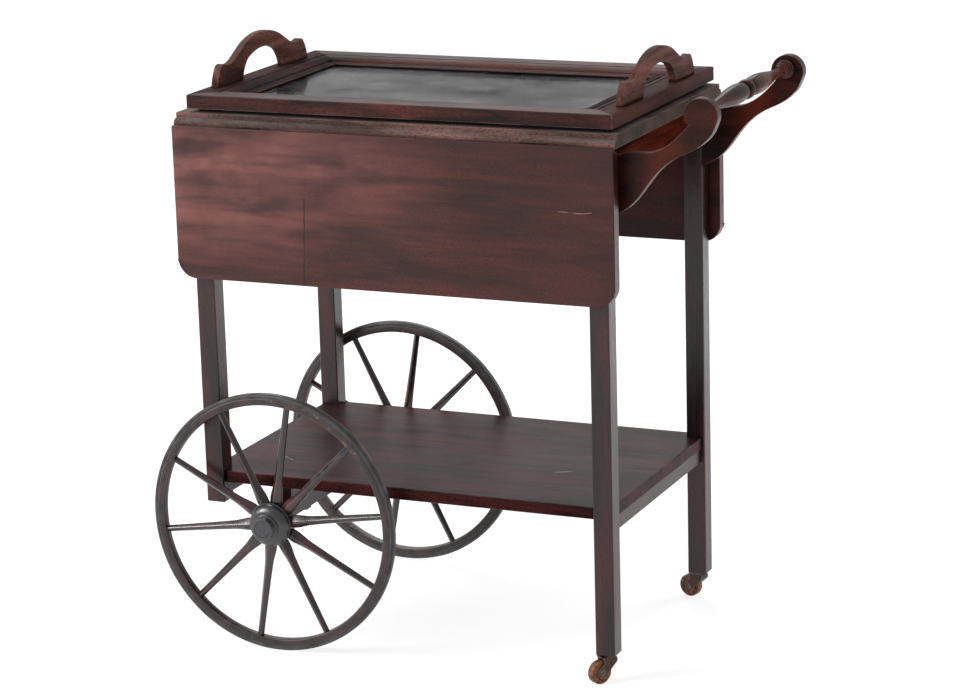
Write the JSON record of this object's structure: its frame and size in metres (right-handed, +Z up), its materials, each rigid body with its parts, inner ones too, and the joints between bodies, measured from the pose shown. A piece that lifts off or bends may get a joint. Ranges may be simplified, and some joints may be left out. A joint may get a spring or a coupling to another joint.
{
  "type": "drop leaf tea trolley",
  "caption": "Wooden drop leaf tea trolley with two large spoked wheels, two casters, a turned push handle, a shelf and a lift-off glazed tray.",
  "frame": {"origin": "on the floor, under the middle of the bounding box", "axes": "+X towards the push handle, Y across the trolley with the near side at -Y, +Z up"},
  "size_m": [0.798, 0.484, 0.8034],
  "materials": {
    "frame_wood": "satin polished mahogany",
    "top_wood": "satin polished mahogany",
    "leaf_wood": "satin polished mahogany",
    "handle_wood": "satin polished mahogany",
    "tray_wood": "satin polished mahogany",
    "shelf_wood": "dull, dusty mahogany",
    "hidden_wood": "unpolished",
    "wheel_wood": "dark grey-brown, worn",
    "tyre_rubber": "dull grey",
    "tray_glass": "dusty",
    "tray_panel": "dark, under glass",
    "hinge_steel": "dull",
    "axle_steel": "dull",
    "caster_iron": "dark, brown with age",
    "caster_wood": "worn orange-brown"
  },
  "bodies": {
    "frame": {"leg_handle_near": "frame_wood", "leg_handle_far": "frame_wood", "leg_wheel_near": "frame_wood", "leg_wheel_far": "frame_wood", "end_apron_handle": "frame_wood", "end_apron_wheel": "frame_wood", "side_apron_near": "frame_wood", "side_apron_far": "frame_wood", "glue_blocks": "hidden_wood", "frame_screws": "axle_steel", "loper_near": "hidden_wood", "loper_far": "hidden_wood", "loper_guides": "hidden_wood", "shelf_board": "shelf_wood", "shelf_rail_handle": "frame_wood", "shelf_rail_wheel": "frame_wood", "top_board": "top_wood", "hinge_board_flaps": "hinge_steel", "hinge_pins": "hinge_steel", "bracket_near": "handle_wood", "bracket_far": "handle_wood", "handle_bar": "handle_wood", "axle_bed": "hidden_wood", "axle_rod": "axle_steel", "axle_washers": "axle_steel", "linch_pins": "axle_steel", "axle_straps": "axle_steel", "caster_sockets": "caster_iron"},
    "leaf_near": {"leaf_near": "leaf_wood", "leaf_near_hinge_flaps": "hinge_steel"},
    "leaf_far": {"leaf_far": "leaf_wood", "leaf_far_hinge_flaps": "hinge_steel"},
    "tray": {"tray_rail_near": "tray_wood", "tray_rail_far": "tray_wood", "tray_rail_handle": "tray_wood", "tray_rail_wheel": "tray_wood", "tray_base": "tray_wood", "tray_panel": "tray_panel", "tray_glass": "tray_glass", "tray_handle_handle_end": "tray_wood", "tray_handle_wheel_end": "tray_wood"},
    "wheel_near": {"wheel_near_hub": "wheel_wood", "wheel_near_bush": "axle_steel", "wheel_near_cap": "wheel_wood", "wheel_near_spokes": "wheel_wood", "wheel_near_rim": "wheel_wood", "wheel_near_tyre": "tyre_rubber"},
    "wheel_far": {"wheel_far_hub": "wheel_wood", "wheel_far_bush": "axle_steel", "wheel_far_cap": "wheel_wood", "wheel_far_spokes": "wheel_wood", "wheel_far_rim": "wheel_wood", "wheel_far_tyre": "tyre_rubber"},
    "caster_near": {"caster_near_horn": "caster_iron", "caster_near_pin": "caster_iron"},
    "caster_near_wheel": {"caster_near_wheel": "caster_wood"},
    "caster_far": {"caster_far_horn": "caster_iron", "caster_far_pin": "caster_iron"},
    "caster_far_wheel": {"caster_far_wheel": "caster_wood"}
  },
  "joints": [
    {"name": "leaf_near_hinge", "type": "hinge", "parent": "frame", "child": "leaf_near", "pos_m": [0, -0.1925, 0.709], "axis": [-1, 0, 0], "range_deg": [0, 90]},
    {"name": "leaf_far_hinge", "type": "hinge", "parent": "frame", "child": "leaf_far", "pos_m": [0, 0.1925, 0.709], "axis": [1, 0, 0], "range_deg": [0, 90]},
    {"name": "tray_lift", "type": "slide", "parent": "frame", "child": "tray", "axis": [0, 0, 1], "range_m": [0, 0.1]},
    {"name": "wheel_near_spin", "type": "hinge", "parent": "frame", "child": "wheel_near", "pos_m": [-0.221, -0.2075, 0.178], "axis": [0, 1, 0], "continuous": true},
    {"name": "wheel_far_spin", "type": "hinge", "parent": "frame", "child": "wheel_far", "pos_m": [-0.221, 0.2075, 0.178], "axis": [0, 1, 0], "continuous": true},
    {"name": "caster_near_swivel", "type": "hinge", "parent": "frame", "child": "caster_near", "pos_m": [0.24325, -0.17675, 0.036], "axis": [0, 0, 1], "continuous": true},
    {"name": "caster_near_roll", "type": "hinge", "parent": "caster_near", "child": "caster_near_wheel", "pos_m": [0.23486, -0.18919, 0.0156], "axis": [0.829, -0.5592, 0], "continuous": true},
    {"name": "caster_far_swivel", "type": "hinge", "parent": "frame", "child": "caster_far", "pos_m": [0.24325, 0.17675, 0.036], "axis": [0, 0, 1], "continuous": true},
    {"name": "caster_far_roll", "type": "hinge", "parent": "caster_far", "child": "caster_far_wheel", "pos_m": [0.22858, 0.17987, 0.0156], "axis": [-0.2079, -0.9781, 0], "continuous": true}
  ]
}
